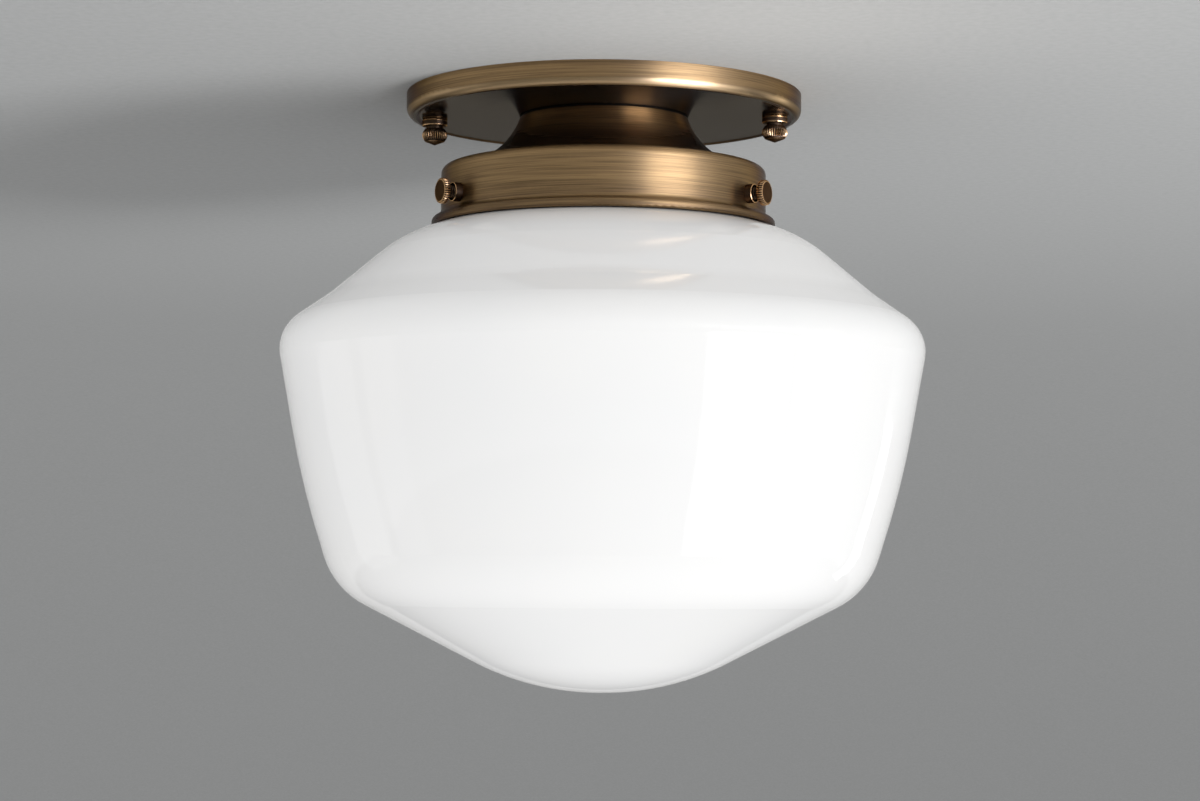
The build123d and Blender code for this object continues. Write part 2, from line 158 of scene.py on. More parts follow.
# %% [markdown]
# ## Words for the finishes
# A few short helpers keep the recipes readable. Positions are in the piece's own coordinates, so a mark
# stays where it is when the piece moves. Turned metal needs one more idea: the tool leaves rings, so
# its noise is drawn out round the axis and packed close along the wall. Four-dimensional noise does
# that without a seam, with the direction round the axis in two of its numbers, the height in the third
# and the radius in the fourth.


# %% Positions, noise and mixing
def position(finish):
    return finish.node("ShaderNodeTexCoord", {}, {}, "Object")


def parts_of(finish, vector):
    made = finish.node("ShaderNodeSeparateXYZ", {}, {"Vector": vector}).socket.node
    return [Wire(finish, out) for out in made.outputs]


def cloud(finish, vector, size, detail=2.0):
    """Soft noise whose blotches are about one size across, in metres."""
    return finish.node("ShaderNodeTexNoise", {}, {"Vector": vector, "Scale": 1 / size, "Detail": detail})


def turning_marks(finish, vector, spacing, streaks, detail=2.0):
    """Noise drawn out round the Z axis: lines one spacing apart, broken into so many streaks in a turn."""
    x, y, z = parts_of(finish, vector)
    radius = (x * x + y * y) ** 0.5
    reach = streaks / math.tau
    around = finish.node(
        "ShaderNodeCombineXYZ", {}, {"X": x / radius * reach, "Y": y / radius * reach, "Z": z / spacing}
    )
    return finish.node(
        "ShaderNodeTexNoise",
        {"noise_dimensions": "4D"},
        {"Vector": around, "W": radius / spacing, "Scale": 1.0, "Detail": detail},
    )


def step_up(finish, value, low, high):
    """0 below low, 1 above high, and a smooth rise between them."""
    return finish.node(
        "ShaderNodeMapRange",
        {"interpolation_type": "SMOOTHSTEP"},
        {"Value": value, "From Min": low, "From Max": high},
    )


def mixed(finish, share, first, second, blend="MIX"):
    """One colour, going over to a second as the share rises from 0 to 1, or blended with it another way."""
    settings = {"data_type": "RGBA", "blend_type": blend}
    return finish.node("ShaderNodeMix", settings, {0: share, 6: first, 7: second}, 2)


def bumped(finish, height, depth, strength=1.0):
    return finish.node("ShaderNodeBump", {}, {"Height": height, "Distance": depth, "Strength": strength})


def colour(red, green, blue):
    return (red, green, blue, 1.0)


# %% [markdown]
# ## Antique brass
# The canopy and the holder are spun brass, darkened in a bath and then brushed while they turn, so the
# high spots are cut back to bright metal in fine rings. The colour is a mix of the dark bath and the
# bare brass, driven by three layers of marks: hair lines, broader lines and long patches. The same
# lines drive the roughness and a very shallow bump. Brushing spreads a highlight up and down the wall,
# which is what the shader's anisotropy does, and a clear lacquer seals it all, which is its coat.
#
# The masks say where the colour changes. Above the collar's shoulder is the recess, darkened as painted
# shade, and darkest down in the cove. A near-black band is a painted contact shadow where the neck meets
# the canopy. The canopy's flat underside is polished and works as a mirror, its rolled edge carries a
# painted highlight, and the holder's lip is a little darker towards its lower edge. The masks could be
# painted by hand, but height, radius and the way a face points give them exactly.

# %% Where the brass changes
rim_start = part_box("canopy")[1].x - 3.2 * MM
rim_blend = 0.5 * MM
neck_radius = 27.0 * MM
neck_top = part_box("shade_holder")[1].z
cove_start = 3.0 * MM
cove_full = 11.0 * MM
lip_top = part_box("shade_holder")[0].z + 4.0 * MM
lip_blend = 1.0 * MM
shoulder_level = -23.5 * MM
shoulder_blend = 2.0 * MM
seam_bottom = neck_top - 0.7 * MM
seam_full = neck_top - 0.3 * MM
seam_fades = neck_top + 0.2 * MM
seam_top = neck_top + 0.5 * MM
seam_inner = neck_radius + 0.3 * MM
seam_outer = neck_radius + 0.8 * MM
flat_down = -0.985
roll_begins = -0.95
roll_full = -0.75
roll_fades = -0.45
roll_ends = -0.15
print("brass: neck top at", round(neck_top / MM, 1), "mm, lip top at", round(lip_top / MM, 1), "mm")


def brass_zones(finish, place):
    """Masks for the recess, the canopy's underside and rolled edge, the cove, the seam and the lip."""
    x, y, z = parts_of(finish, place)
    radius = (x * x + y * y) ** 0.5
    facing = parts_of(finish, finish.node("ShaderNodeNewGeometry", {}, {}, "Normal"))[2]
    above = step_up(finish, z, shoulder_level, shoulder_level + shoulder_blend)
    underside = above * (1 - step_up(finish, facing, flat_down, roll_begins))
    roll = above * step_up(finish, facing, roll_begins, roll_full)
    roll = roll * (1 - step_up(finish, facing, roll_fades, roll_ends))
    recess = above * (1 - step_up(finish, radius, rim_start, rim_start + rim_blend))
    cove = recess * step_up(finish, neck_top - z, cove_start, cove_full)
    seam = step_up(finish, z, seam_bottom, seam_full)
    seam = seam * (1 - step_up(finish, z, seam_fades, seam_top))
    seam = seam * (1 - step_up(finish, radius, seam_inner, seam_outer))
    lip = 1 - step_up(finish, z, lip_top - lip_blend, lip_top)
    return recess, underside, roll * (1 - recess), cove, seam, lip


# %% Antique brass
def antique_brass():
    finish = Finish("antique_brass")
    place = position(finish)
    hair = turning_marks(finish, place, 0.22 * MM, 18.0)
    lines = turning_marks(finish, place, 0.4 * MM, 11.0)
    patches = turning_marks(finish, place, 1.8 * MM, 4.0, detail=3.0)
    recess, underside, roll, cove, seam, lip = brass_zones(finish, place)
    # The lip is a little darker towards its lower edge.
    brushed = hair * 0.36 + lines * 0.32 + patches * 0.32 - 0.08 * lip
    bright = step_up(finish, brushed, 0.28, 0.72)
    brass = mixed(finish, bright, colour(0.14, 0.085, 0.04), colour(0.46, 0.3, 0.135))
    # Painted highlight along the canopy's rolled edge.
    brass = mixed(finish, 0.7 * roll, brass, colour(0.8, 0.57, 0.32))
    brass = mixed(finish, 0.9 * underside, brass, colour(0.72, 0.67, 0.59))
    # Painted shade: the recess round the neck and inside the canopy is darkened.
    dark_tone = mixed(finish, recess, colour(1, 1, 1), colour(0.75, 0.68, 0.6))
    # Painted contact shadow: a near-black band where the neck's top meets the canopy.
    dark_tone = mixed(finish, seam, dark_tone, colour(0.02, 0.02, 0.02))
    # Deeper painted shade down in the cove, towards the shoulder.
    dark_tone = mixed(finish, cove, dark_tone, colour(0.16, 0.12, 0.08))
    dark_tone = mixed(finish, underside, dark_tone, colour(1, 1, 1))
    return finish.surface(
        {
            "Base Color": mixed(finish, 1.0, brass, dark_tone, "MULTIPLY"),
            "Metallic": 1.0,
            "Specular Tint": colour(0.17, 0.16, 0.15),
            "Roughness": 0.42 - 0.08 * bright + 0.08 * (hair - 0.5) - 0.24 * underside,
            "Anisotropic": 0.85,
            "Anisotropic Rotation": 0.25,
            "Coat Weight": 0.4 - 0.3 * underside,
            "Coat Roughness": 0.35,
            "Normal": bumped(finish, hair, 0.01 * MM, strength=0.5),
        }
    )


# %% [markdown]
# ## Darkened bronze hardware
# The nuts, washers, bushes and thumbscrews have a darker bath, and every edge that fingers or tools
# touch is rubbed back to bright metal. The finer meshes below carry a number called wear at each point:
# 0 in a groove, painted near black as grime and painted shade, about 0.2 on an untouched face, and 1 on
# an edge or a ridge. The shader roughens that number with some noise and mixes three colours by it.


# %% Darkened bronze
def bronze_hardware():
    finish = Finish("bronze_hardware")
    place = position(finish)
    wear = finish.node("ShaderNodeAttribute", {"attribute_name": "wear"}, {}, "Fac")
    specks = cloud(finish, place, 0.5 * MM, detail=3.0)
    blotches = cloud(finish, place, 3 * MM)
    out_of_groove = step_up(finish, wear, 0.0, 0.2)
    rubbed = step_up(finish, wear + 0.35 * (specks - 0.5), 0.35, 0.9)
    dark_tone = mixed(finish, blotches, colour(0.055, 0.036, 0.024), colour(0.11, 0.074, 0.05))
    # Near black in grooves and recesses: grime and painted shade.
    face = mixed(finish, out_of_groove, colour(0.008, 0.005, 0.003), dark_tone)
    return finish.surface(
        {
            "Base Color": mixed(finish, rubbed, face, colour(0.76, 0.48, 0.25)),
            "Metallic": 1.0,
            "Specular Tint": colour(0.45, 0.36, 0.28),
            "Roughness": 0.38 - 0.12 * rubbed + 0.12 * (blotches - 0.5),
            "Normal": bumped(finish, specks, 0.01 * MM, strength=0.5),
        }
    )


# %% [markdown]
# ## Zinc plated steel
# The crossbar, its nuts and the lampholder's strap are hidden at home and show only from above. Zinc
# plating is a pale grey metal with a faint blue and yellow bloom, over steel with a fine, dull grain.


# %% Zinc plated steel
def zinc_steel():
    finish = Finish("zinc_steel")
    place = position(finish)
    bloom = cloud(finish, place, 9 * MM)
    grain = cloud(finish, place, 0.6 * MM, detail=3.0)
    plated = mixed(finish, bloom, colour(0.52, 0.55, 0.6), colour(0.66, 0.63, 0.54))
    return finish.surface(
        {
            "Base Color": mixed(finish, grain * 0.35, plated, colour(0.36, 0.36, 0.36)),
            "Metallic": 1.0,
            "Roughness": 0.26 + 0.2 * grain,
            "Normal": bumped(finish, grain, 0.02 * MM, strength=0.5),
        }
    )


# %% [markdown]
# ## Opal glass
# Opal glass is white all through, with a fire-polished skin. Light scattering inside it could be
# simulated, but that renders slower and greyer, and glass this dense looks right with a plain white
# base. A low, slightly uneven roughness gives the sharp window reflections, and a very shallow, slow
# bump makes them waver as they do on blown glass.


# %% Opal glass
def opal_glass():
    finish = Finish("opal_glass")
    place = position(finish)
    milk = cloud(finish, place, 45 * MM)
    ripple = cloud(finish, place, 60 * MM, detail=0.0)
    polish = cloud(finish, place, 18 * MM)
    return finish.surface(
        {
            "Base Color": mixed(finish, milk, colour(0.84, 0.845, 0.85), colour(0.88, 0.875, 0.865)),
            "Roughness": 0.035 + 0.03 * polish,
            "IOR": 1.5,
            "Normal": bumped(finish, ripple, 0.35 * MM, strength=0.5),
        }
    )


# %% [markdown]
# ## The lampholder and the bulb
# Porcelain, bright contact brass, nickel, black glass and frosted glass are all inside the shade. They
# are still finished: someone who opens the light sees them. Each is one base colour broken up by noise
# at its own scale.


# %% Porcelain
def porcelain():
    finish = Finish("porcelain")
    place = position(finish)
    glaze = cloud(finish, place, 12 * MM)
    pits = step_up(finish, cloud(finish, place, 0.9 * MM, detail=1.0), 0.68, 0.78)
    white = mixed(finish, glaze, colour(0.8, 0.79, 0.75), colour(0.88, 0.875, 0.85))
    return finish.surface(
        {
            "Base Color": mixed(finish, pits * 0.5, white, colour(0.55, 0.52, 0.47)),
            "Roughness": 0.14 + 0.1 * glaze,
            "Coat Weight": 0.3,
            "Normal": bumped(finish, 1 - pits, 0.03 * MM, strength=0.6),
        }
    )


# %% Bright, plated and painted metal
def smooth_metal(name, dull, bright, roughness):
    finish = Finish(name)
    place = position(finish)
    tarnish = cloud(finish, place, 4 * MM, detail=3.0)
    scuffs = cloud(finish, place, 0.4 * MM)
    return finish.surface(
        {
            "Base Color": mixed(finish, tarnish, dull, bright),
            "Metallic": 1.0,
            "Roughness": roughness + 0.15 * (scuffs - 0.5) + 0.1 * tarnish,
            "Normal": bumped(finish, scuffs, 0.01 * MM, strength=0.4),
        }
    )


def green_screw():
    finish = Finish("green_screw")
    place = position(finish)
    worn = step_up(finish, cloud(finish, place, 1.2 * MM, detail=3.0), 0.56, 0.66)
    depth = cloud(finish, place, 4 * MM)
    lacquer = mixed(finish, depth, colour(0.03, 0.2, 0.07), colour(0.06, 0.3, 0.12))
    return finish.surface(
        {
            "Base Color": mixed(finish, worn * 0.6, lacquer, colour(0.5, 0.5, 0.47)),
            "Metallic": 0.6 + 0.4 * worn,
            "Roughness": 0.3 + 0.15 * worn,
            "Normal": bumped(finish, 1 - worn, 0.02 * MM, strength=0.5),
        }
    )


# %% Bulb glass and base insulator
def frosted_glass():
    finish = Finish("frosted_glass")
    place = position(finish)
    frost = cloud(finish, place, 0.3 * MM, detail=3.0)
    haze = cloud(finish, place, 20 * MM)
    return finish.surface(
        {
            "Base Color": mixed(finish, haze, colour(0.82, 0.82, 0.8), colour(0.9, 0.9, 0.885)),
            "Roughness": 0.32 + 0.2 * frost,
            "Normal": bumped(finish, frost, 0.02 * MM, strength=0.5),
        }
    )


def black_insulator():
    finish = Finish("black_insulator")
    place = position(finish)
    swirl = cloud(finish, place, 2.5 * MM, detail=4.0)
    return finish.surface(
        {
            "Base Color": mixed(finish, swirl, colour(0.012, 0.012, 0.016), colour(0.05, 0.045, 0.06)),
            "Roughness": 0.1 + 0.15 * swirl,
            "Normal": bumped(finish, swirl, 0.05 * MM, strength=0.5),
        }
    )


# %% [markdown]
# ## A finish for every slot
# The record names a material slot for each solid. One table from slot to finish then dresses them all.

# %% Dress the solids
finishes = {
    "antique_brass": antique_brass(),
    "bronze_hardware": bronze_hardware(),
    "zinc_steel": zinc_steel(),
    "green_screw": green_screw(),
    "opal_glass": opal_glass(),
    "porcelain": porcelain(),
    "contact_brass": smooth_metal("contact_brass", colour(0.5, 0.34, 0.14), colour(0.78, 0.6, 0.3), 0.2),
    "nickel": smooth_metal("nickel", colour(0.5, 0.49, 0.46), colour(0.72, 0.71, 0.68), 0.2),
    "frosted_glass": frosted_glass(),
    "black_insulator": black_insulator(),
}
slot_of = {row["node"]: row["material_slot"] for row in frame["record"]["subparts"]}
for name, solid in frame["nodes"].items():
    solid.data.materials.clear()
    solid.data.materials.append(finishes[slot_of[name]])
print("dressed:", len(slot_of), "solids in", len(finishes), "finishes")

# %% [markdown]
# ## A lathe for the small hardware
# The nuts, studs and thumbscrews are bar stock, turned, knurled and threaded. Seen close they need
# separate ridges, bright edges and a real thread. A lathe of our own does it: rings of points, listed
# along the profile, each ring either plain, knurled or cut by a thread, and all joined into one closed
# skin. A knurl is a row of V ridges, because a sharp crest beside a dark valley is what makes it
# glitter. Every point also gets its wear.

# %% The lathe
ridge_columns = 4
rings_per_turn = 6
crease_angle = math.radians(32)


class Lathe:
    """Rings round the Z axis, from one end of the profile to the other."""

    def __init__(self, columns):
        self.columns = columns
        self.rings = []

    def plain(self, radius, level, wear=0.2):
        self.rings.append((level, [radius] * self.columns, [wear] * self.columns))

    def knurled(self, crest, valley, level, wear=1.0, grime_and_shade=0.0):
        """A ring of V ridges, each with four columns: its crest, a flank, the valley and a flank."""
        half = ridge_columns / 2
        rises = [abs(i % ridge_columns - half) / half for i in range(self.columns)]
        radii = [valley + (crest - valley) * rise for rise in rises]
        self.rings.append((level, radii, [grime_and_shade + (wear - grime_and_shade) * rise for rise in rises]))

    def threaded(self, radius, depth, pitch, start, end, wear=0.35):
        """Rings that follow a V thread, a few to each turn."""
        count = max(2, round(abs(end - start) / pitch * rings_per_turn))
        for step in range(count + 1):
            level = start + (end - start) * step / count
            crests = [abs((level / pitch - i / self.columns) % 1 * 2 - 1) for i in range(self.columns)]
            radii = [radius - depth * (1 - crest) for crest in crests]
            self.rings.append((level, radii, [wear * crest for crest in crests]))

    def skin(self, name, looped=False):
        """The closed mesh. A looped profile comes back to its first ring, as on a ring or a tube."""
        work = bmesh.new()
        wear_layer = work.verts.layers.float.new("wear")
        loops = []
        for level, radii, wears in self.rings:
            count = self.columns if max(radii) else 1
            loop = []
            for i in range(count):
                angle = math.tau * i / self.columns
                point = work.verts.new((radii[i] * math.cos(angle), radii[i] * math.sin(angle), level))
                point[wear_layer] = wears[i]
                loop.append(point)
            loops.append(loop)
        if looped:
            loops.append(loops[0])
        for near, far in zip(loops, loops[1:]):
            for i in range(self.columns):
                j = (i + 1) % self.columns
                corners = [near[i % len(near)], near[j % len(near)], far[j % len(far)], far[i % len(far)]]
                work.faces.new(dict.fromkeys(corners))
        bmesh.ops.recalc_face_normals(work, faces=work.faces)
        mesh = bpy.data.meshes.new(name)
        work.to_mesh(mesh)
        work.free()
        mesh.shade_smooth()
        mesh.set_sharp_from_angle(angle=crease_angle)
        return mesh


def add_piece(name, mesh, place, node, body):
    """A finer mesh that stands for a solid, in its slot's finish and on its body."""
    piece = bpy.data.objects.new(name, mesh)
    bpy.context.scene.collection.objects.link(piece)
    piece.matrix_world = place
    mesh.materials.append(finishes[slot_of[node]])
    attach(piece, body)
    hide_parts(node)
    print("piece:", name, "with", len(mesh.polygons), "faces")
    return piece


# %% [markdown]
# ## Cap nuts and washers
# A mounting stud comes down through the canopy at each end of the crossbar. On it sit a thick washer
# with broken edges and a cap nut: a short neck, a barrel with straight ridges, and a pointed end. The
# ridges fade out towards the barrel's ends, as a knurling wheel leaves them. The nut is bored for the
# stud, which shows as it is undone.

# %% Sizes of a cap nut
sides = ("left", "right")
stud_radius = 4.1 / 2 * MM
nut_bore_depth = 4.0 * MM
nut_neck_radius = 5.3 / 2 * MM
nut_neck_height = 0.85 * MM
nut_edge_radius = 6.4 / 2 * MM
nut_cone_height = 1.3 * MM
nut_cone_break = 0.08
nut_ridge_depth = 0.38 * MM
nut_ridges = 32
thread_gap = 0.06 * MM
hole_gap = 0.25 * MM
barrel_rings = 12
ridge_start = 0.22
ridge_end = 0.97
ridge_fade = 0.16
print("cap nut:", nut_ridges, "ridges,", round(nut_ridge_depth / MM, 2), "mm deep")


# %% Cap nuts
def cap_nut(side):
    node = "cap_nut_" + side
    low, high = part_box(node)
    middle = (low + high) / 2
    barrel_radius = (high.y - low.y) / 2
    barrel_top = high.z - nut_neck_height
    barrel_bottom = low.z + nut_cone_height
    bore = stud_radius + thread_gap
    lathe = Lathe(ridge_columns * nut_ridges)
    lathe.plain(0, high.z - nut_bore_depth)
    lathe.plain(bore, high.z - nut_bore_depth)
    lathe.plain(bore, high.z)
    lathe.plain(nut_neck_radius, high.z)
    lathe.plain(nut_neck_radius, barrel_top)
    for i in range(barrel_rings + 1):
        share = i / barrel_rings
        level = barrel_top + (barrel_bottom - barrel_top) * share
        crest = nut_edge_radius + (barrel_radius - nut_edge_radius) * math.sin(math.pi * share)
        ridged = max(0.0, min(1.0, (share - ridge_start) / ridge_fade, (ridge_end - share) / ridge_fade))
        valley = crest - nut_ridge_depth * ridged
        # The valleys between the ridges go to wear 0: grime and painted shade.
        lathe.knurled(crest, valley, level, wear=0.2 + 0.75 * ridged, grime_and_shade=0.2 - 0.2 * ridged)
    break_radius = nut_edge_radius * (1 - nut_cone_break / 2)
    lathe.plain(break_radius, barrel_bottom - nut_cone_height * nut_cone_break, wear=0.6)
    lathe.plain(nut_edge_radius / 2, (barrel_bottom + low.z) / 2)
    lathe.plain(0, low.z, wear=0.4)
    place = Matrix.Translation((middle.x, middle.y, 0))
    return add_piece(node + "_turned", lathe.skin(node), place, node, side + "_cap_nut")


for side in sides:
    cap_nut(side)

# %% Washers
washer_edge = 0.28 * MM
washer_columns = 96


def washer(side):
    node = "washer_" + side
    low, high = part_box(node)
    middle = (low + high) / 2
    radius = (high.x - low.x) / 2
    hole = stud_radius + hole_gap
    lathe = Lathe(washer_columns)
    lathe.plain(hole, high.z)
    lathe.plain(radius - washer_edge, high.z, wear=0.4)
    lathe.plain(radius - washer_edge * 0.3, high.z - washer_edge * 0.3, wear=1.0)
    lathe.plain(radius, high.z - washer_edge, wear=1.0)
    lathe.plain(radius, high.z - 1.6 * washer_edge, wear=0.8)
    lathe.plain(radius, high.z - 2.2 * washer_edge)
    lathe.plain(radius, low.z + 2 * washer_edge)
    lathe.plain(radius, low.z + washer_edge, wear=0.8)
    lathe.plain(radius - washer_edge * 0.3, low.z + washer_edge * 0.3, wear=1.0)
    lathe.plain(radius - washer_edge, low.z, wear=0.4)
    lathe.plain(hole, low.z)
    place = Matrix.Translation((middle.x, middle.y, 0))
    return add_piece(node + "_turned", lathe.skin(node, looped=True), place, node, side + "_washer")


for side in sides:
    washer(side)

# %% [markdown]
# ## Threads: studs, nipple and bulb base
# The two studs are headless screws, and the nipple is a short tube that is threaded all along. A stud
# shows under the canopy once its cap nut is backed off, and both show from above. The bulb's base has
# the coarse, shallow thread that is rolled into its thin sheet. All three keep the solids' outer size,
# because a thread goes inwards from the bar.

# %% Studs, nipple and bulb base
stud_pitch = 0.794 * MM
stud_thread_depth = 0.4 * MM
nipple_bore = 6.6 / 2 * MM
nipple_pitch = 0.94 * MM
nipple_thread_depth = 0.5 * MM
thread_chamfer = 0.4 * MM
thread_columns = 48
base_mouth_radius = 9.0 / 2 * MM
base_cone_radius = 22.0 / 2 * MM
base_sheet = 0.5 * MM
base_pitch = 3.63 * MM
base_thread_depth = 0.4 * MM


def stud(side):
    low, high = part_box("mounting_studs")
    axis = low.x + stud_radius if side == "left" else high.x - stud_radius
    lathe = Lathe(thread_columns)
    lathe.plain(0, high.z)
    lathe.plain(stud_radius - thread_chamfer, high.z)
    lathe.threaded(
        stud_radius, stud_thread_depth, stud_pitch, high.z - thread_chamfer, low.z + thread_chamfer
    )
    lathe.plain(stud_radius - thread_chamfer, low.z)
    lathe.plain(0, low.z)
    place = Matrix.Translation((axis, 0, 0))
    return add_piece("stud_" + side, lathe.skin("stud_" + side), place, "mounting_studs", "fixture")


def nipple():
    low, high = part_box("nipple")
    radius = (high.x - low.x) / 2
    lathe = Lathe(thread_columns)
    lathe.plain(nipple_bore, low.z)
    lathe.plain(nipple_bore, high.z)
    lathe.plain(radius - thread_chamfer, high.z)
    lathe.threaded(
        radius, nipple_thread_depth, nipple_pitch, high.z - thread_chamfer, low.z + thread_chamfer
    )
    lathe.plain(radius - thread_chamfer, low.z)
    return add_piece("nipple_threaded", lathe.skin("nipple", looped=True), Matrix(), "nipple", "fixture")


def bulb_base():
    low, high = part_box("bulb_base_shell")
    radius = (high.x - low.x) / 2
    cone_end = high.z - (radius - base_cone_radius)
    lathe = Lathe(2 * thread_columns)
    lathe.plain(base_mouth_radius, high.z)
    lathe.plain(base_cone_radius, high.z)
    lathe.plain(radius - base_thread_depth, cone_end - base_thread_depth)
    lathe.threaded(radius, base_thread_depth, base_pitch, cone_end - base_sheet, low.z + base_pitch)
    lathe.plain(radius, low.z + base_pitch / 2)
    lathe.plain(radius, low.z)
    lathe.plain(radius - base_sheet, low.z)
    lathe.plain(radius - base_sheet, cone_end - base_sheet)
    lathe.plain(base_mouth_radius, high.z - base_sheet)
    mesh = lathe.skin("bulb_base", looped=True)
    return add_piece("bulb_base_threaded", mesh, Matrix(), "bulb_base_shell", "bulb")


for side in sides:
    stud(side)
nipple()
bulb_base()

# %% [markdown]
# ## Thumbscrews and their bushes
# Three thumbscrews point at the axis and stop just short of the glass neck. A thumbscrew has a flat
# face with a bright rim, a knurled edge, and a threaded shank that shows between the head and its bush.
# Their directions are the axes of their own slides, so a mesh made along local Z is turned to the axis
# and lowered to the screw's height.

# %% Sizes of a thumbscrew
screw_radius = 4.0 / 2 * MM
screw_pitch = 0.8 * MM
screw_thread_depth = 0.34 * MM
screw_tip_chamfer = 0.5 * MM
screw_head_height = 2.0 * MM
screw_head_edge = 0.35 * MM
screw_ridge_depth = 0.28 * MM
screw_ridges = 32
bush_radius = 6.0 / 2 * MM
bush_edge = 0.12 * MM
bush_rim = 0.26 * MM
bush_recess = 0.6 * MM
bush_length = 2.4 * MM
bush_foot_depth = 0.4 * MM
bush_gap = 2.2 * MM
bush_columns = 72
print("thumbscrew:", screw_ridges, "ridges,", round(screw_ridge_depth / MM, 2), "mm deep")


# %% Thumbscrews
def screw_place(joint, node):
    """A frame whose Z axis runs out along a thumbscrew, from the light's own axis."""
    low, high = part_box(node)
    turn = Vector(joint["axis"]).to_track_quat("Z", "Y").to_matrix().to_4x4()
    return Matrix.Translation((0, 0, (low.z + high.z) / 2)) @ turn


def screw_reach(place, node):
    """How far from the light's axis a thumbscrew begins and ends."""
    along = [(place.inverted() @ point.co).z for point in frame["nodes"][node].data.vertices]
    return min(along), max(along)


def thumbscrew(node, place, body):
    tip, face = screw_reach(place, node)
    low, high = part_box(node)
    radius = (high.z - low.z) / 2
    root = radius - screw_ridge_depth
    back = face - screw_head_height
    half_edge = 0.5 * screw_head_edge
    lathe = Lathe(ridge_columns * screw_ridges)
    lathe.plain(0, face)
    lathe.plain(root - 1.5 * screw_head_edge, face)
    lathe.plain(root - screw_head_edge, face, wear=0.9)
    lathe.knurled(radius - half_edge, root - half_edge, face - 0.3 * screw_head_edge)
    lathe.knurled(radius, root, face - screw_head_edge)
    lathe.knurled(radius, root, back + screw_head_edge)
    lathe.knurled(radius - half_edge, root - half_edge, back + 0.3 * screw_head_edge)
    lathe.plain(root - screw_head_edge, back, wear=0.5)
    lathe.plain(screw_radius, back)
    # Thread roots get wear 0, painted near black: grime and painted shade.
    lathe.threaded(screw_radius, screw_thread_depth, screw_pitch, back, tip + screw_tip_chamfer)
    lathe.plain(screw_radius - screw_tip_chamfer, tip, wear=0.4)
    lathe.plain(0, tip, wear=0.4)
    return add_piece(node + "_turned", lathe.skin(node), place, node, body)


def bush(name, node, place):
    """A tapped boss with a bright rim round a dark recess. Its foot is sunk in the collar's wall."""
    screw_face = screw_reach(place, node)[1]
    face = screw_face - screw_head_height - bush_gap
    foot = face - bush_length - bush_foot_depth
    hole = screw_radius + thread_gap
    lathe = Lathe(bush_columns)
    lathe.plain(hole, foot)
    lathe.plain(bush_radius, foot)
    lathe.plain(bush_radius, face - 2 * bush_edge)
    lathe.plain(bush_radius, face - bush_edge, wear=0.8)
    lathe.plain(bush_radius - bush_edge, face, wear=0.9)
    lathe.plain(bush_radius - bush_rim, face, wear=0.7)
    # The recess has wear 0, which the bronze finish paints near black: grime and painted shade.
    lathe.plain(bush_radius - bush_rim, face - bush_recess, wear=0.0)
    lathe.plain(hole, face - bush_recess, wear=0.0)
    return add_piece(name, lathe.skin(name, looped=True), place, "screw_bushes", "fixture")


for joint in frame["joints"]:
    if joint["child"].endswith("_thumbscrew"):
        corner = joint["child"].removesuffix("_thumbscrew")
        node = "thumbscrew_" + corner
        place = screw_place(joint, node)
        thumbscrew(node, place, joint["child"])
        bush("bush_" + corner, node, place)

# %% [markdown]
# ## The stage
# A ceiling light is photographed from below, against a plain ceiling that bends down into a plain wall
# in one wide curve. A pale floor lies far below. A camera above the ceiling has to see the top of the
# light, so the paint shows on the inner side only and the room casts no shadow. The ceiling is open
# over the canopy, as it is for an outlet box, and a pale dome above that opening is there only for the
# metal inside to mirror. Metal is mostly what it mirrors, so the paint also has a second colour, for
# rays that come from a mirror.

# %% Paint that shows from one side
grey_paint = colour(0.242, 0.246, 0.246)
grey_in_mirrors = colour(0.33, 0.33, 0.325)
pale_paint = colour(0.74, 0.73, 0.71)
pale_in_mirrors = colour(0.95, 0.94, 0.92)
stipple_size = 2.5 * MM
stipple_shade = 0.8


def room_finish(name, tone, mirrored):
    """Matt paint with a light stipple, seen from the inner side only, and in mirrors as another colour."""
    finish = Finish(name)
    stipple = cloud(finish, position(finish), stipple_size, detail=3.0)
    shade = colour(*[stipple_shade * part for part in tone[:3]])
    in_mirror = finish.node("ShaderNodeLightPath", {}, {}, "Is Glossy Ray")
    paint = mixed(finish, in_mirror, mixed(finish, stipple, shade, tone), mirrored)
    made = finish.surface({"Base Color": paint, "Roughness": 0.9})
    behind = finish.node("ShaderNodeNewGeometry", {}, {}, "Backfacing")
    clear = finish.node("ShaderNodeBsdfTransparent", {}, {})
    painted = Wire(finish, finish.shader.outputs[0])
    seen = finish.node("ShaderNodeMixShader", {}, {0: behind, 1: painted, 2: clear})
    finish.feed(finish.tree.nodes["Material Output"].inputs["Surface"], seen)
    return made


def add_stage(name, lathe, paint, flipped):
    mesh = lathe.skin(name)
    if flipped:
        mesh.flip_normals()
    mesh.materials.append(paint)
    piece = bpy.data.objects.new(name, mesh)
    bpy.context.scene.collection.objects.link(piece)
    return piece


# %% The room, the floor and the dome
room_radius = 4.0
room_curve = 3.2
ceiling_gap = 0.03 * MM
ceiling_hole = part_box("canopy")[1].x - 5.0 * MM
floor_level = -1.5
dome_radius = 1.5
dome_start = math.radians(2)
curve_angle = math.acos(1 + floor_level / room_curve)
curve_rings = 24
room_segments = 96


def room():
    """A ceiling with a round opening over the canopy, which bends down to the floor."""
    lathe = Lathe(room_segments)
    lathe.plain(ceiling_hole, ceiling_gap)
    for i in range(curve_rings + 1):
        angle = curve_angle * i / curve_rings
        reach = room_radius - room_curve * (1 - math.sin(angle))
        lathe.plain(reach, ceiling_gap - room_curve * (1 - math.cos(angle)))
    shell = add_stage("room", lathe, room_finish("room_paint", grey_paint, grey_in_mirrors), True)
    shell.visible_diffuse = False
    shell.visible_shadow = False
    return shell


